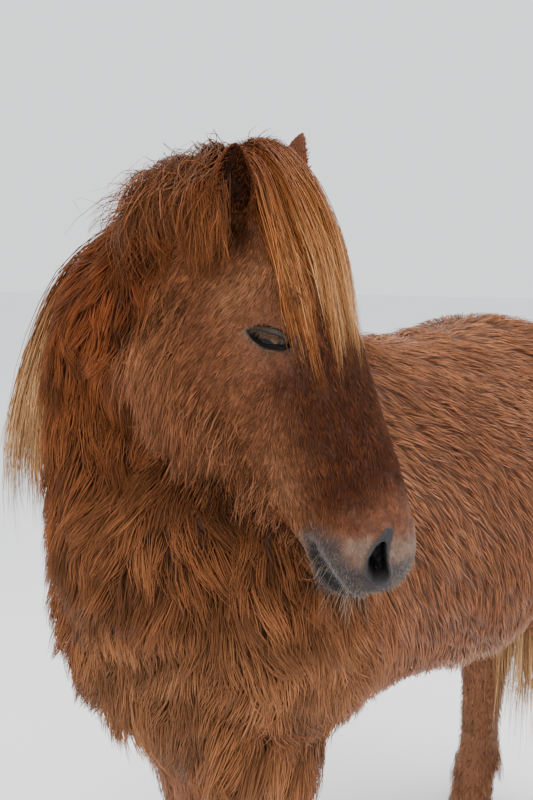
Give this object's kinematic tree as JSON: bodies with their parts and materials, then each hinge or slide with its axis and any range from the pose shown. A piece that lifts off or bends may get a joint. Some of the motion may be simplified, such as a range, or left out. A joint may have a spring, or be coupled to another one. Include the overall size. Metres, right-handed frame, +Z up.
{
  "type": "icelandic horse",
  "caption": "Standing Icelandic horse in winter coat, life size, head turned to its left, with long forelock, mane and tail",
  "frame": {"origin": "centre of the bounding box in X and Y, on the floor under the hooves in Z", "axes": "the horse faces -Y, its left side is towards +X, +Z is up; its head is turned to its left, towards +X"},
  "size_m": [0.6876, 1.7848, 1.6705],
  "materials": {
    "coat": "thick chestnut winter coat, paler at the tips of the hair",
    "long_hair": "long flaxen hair with reddish roots",
    "eye": "wet, dark brown",
    "hoof_horn": "dull dark horn with faint growth rings"
  },
  "bodies": {
    "root": {"head": "coat", "neck": "coat", "torso": "coat", "tail": "long_hair", "ear_left": "coat", "ear_right": "coat", "eye_left": "eye", "eye_right": "eye", "foreleg_left": "coat", "foreleg_right": "coat", "hindleg_left": "coat", "hindleg_right": "coat", "hoof_fore_left": "hoof_horn", "hoof_fore_right": "hoof_horn", "hoof_hind_left": "hoof_horn", "hoof_hind_right": "hoof_horn"}
  },
  "joints": []
}
